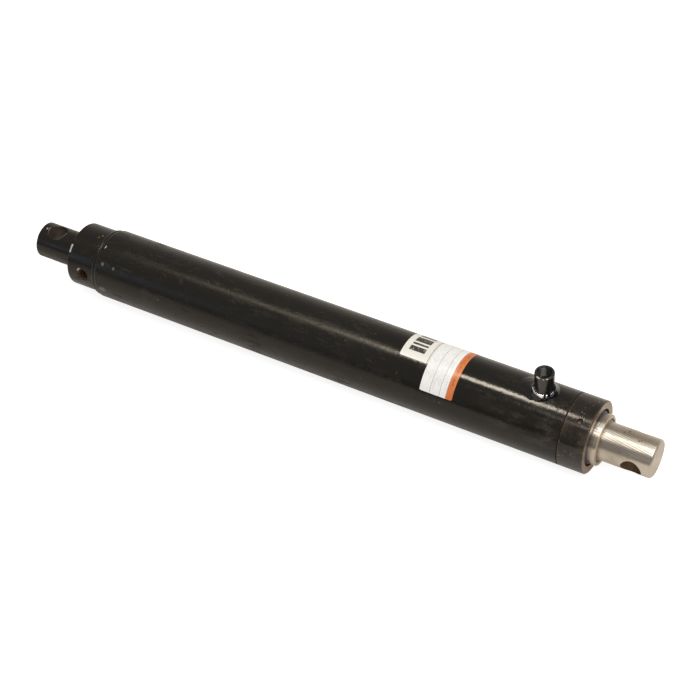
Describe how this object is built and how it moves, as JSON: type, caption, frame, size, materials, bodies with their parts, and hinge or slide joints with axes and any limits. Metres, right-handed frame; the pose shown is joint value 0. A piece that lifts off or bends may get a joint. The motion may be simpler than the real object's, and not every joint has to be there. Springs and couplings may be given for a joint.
{
  "type": "telescopic hydraulic cylinder",
  "caption": "Telescopic hydraulic cylinder: a black welded barrel with a pin-eye base, side and head oil ports and a gland, holding a steel sleeve and a plunger with a pin eye.",
  "frame": {"origin": "centre of the base pin hole, on the cylinder's axis", "axes": "+X along the cylinder from the base pin hole to the plunger's eye, +Z the direction in which the head port points, and +Y completes the right-handed frame"},
  "size_m": [0.7049, 0.0731, 0.1001],
  "materials": {
    "black_paint": "gloss black paint on steel, scuffed and dusty",
    "painted_weld": "gloss black paint over rippled weld",
    "worn_black_paint": "thin worn black paint with rusty edges and a bare face",
    "label_film": "printed adhesive film",
    "ground_steel": "turned and ground bright steel",
    "machined_steel": "turned steel with light surface rust",
    "spring_steel": "dark spring steel",
    "blue_urethane": "smooth blue polyurethane",
    "clear_urethane": "amber polyurethane",
    "nitrile": "matt black nitrile rubber",
    "bearing_band": "cream glass-filled nylon",
    "bearing_bronze": "turned bearing bronze"
  },
  "bodies": {
    "barrel": {"base_end": "black_paint", "base_weld": "painted_weld", "barrel_tube": "black_paint", "port_boss": "black_paint", "port_weld": "painted_weld", "number_label": "label_film", "notice_label": "label_film", "gland_nut": "worn_black_paint", "gland_o_ring": "nitrile", "gland_wear_band": "bearing_band", "gland_seal": "blue_urethane", "gland_wiper": "blue_urethane"},
    "sleeve_guide": {"sleeve_guide_ring": "machined_steel", "sleeve_guide_band": "bearing_band"},
    "sleeve": {"sleeve_tube": "ground_steel", "sleeve_head": "machined_steel", "head_o_ring": "nitrile", "head_wear_band": "bearing_band", "head_seal": "blue_urethane", "head_wiper": "clear_urethane", "sleeve_snap_rings": "spring_steel", "sleeve_stop_ring": "machined_steel", "sleeve_stop_snap_ring": "spring_steel"},
    "plunger_guide": {"plunger_guide_ring": "bearing_bronze"},
    "plunger": {"plunger_rod": "ground_steel", "plunger_snap_rings": "spring_steel"}
  },
  "joints": [
    {"name": "sleeve_slide", "type": "slide", "parent": "barrel", "child": "sleeve_guide", "axis": [1, 0, 0], "range_m": [0, 0.4572]},
    {"name": "sleeve_turn", "type": "hinge", "parent": "sleeve_guide", "child": "sleeve", "pos_m": [0.3, 0, 0], "axis": [1, 0, 0], "continuous": true},
    {"name": "plunger_slide", "type": "slide", "parent": "sleeve", "child": "plunger_guide", "axis": [1, 0, 0], "range_m": [0, 0.4572]},
    {"name": "plunger_turn", "type": "hinge", "parent": "plunger_guide", "child": "plunger", "pos_m": [0.3, 0, 0], "axis": [1, 0, 0], "continuous": true}
  ]
}
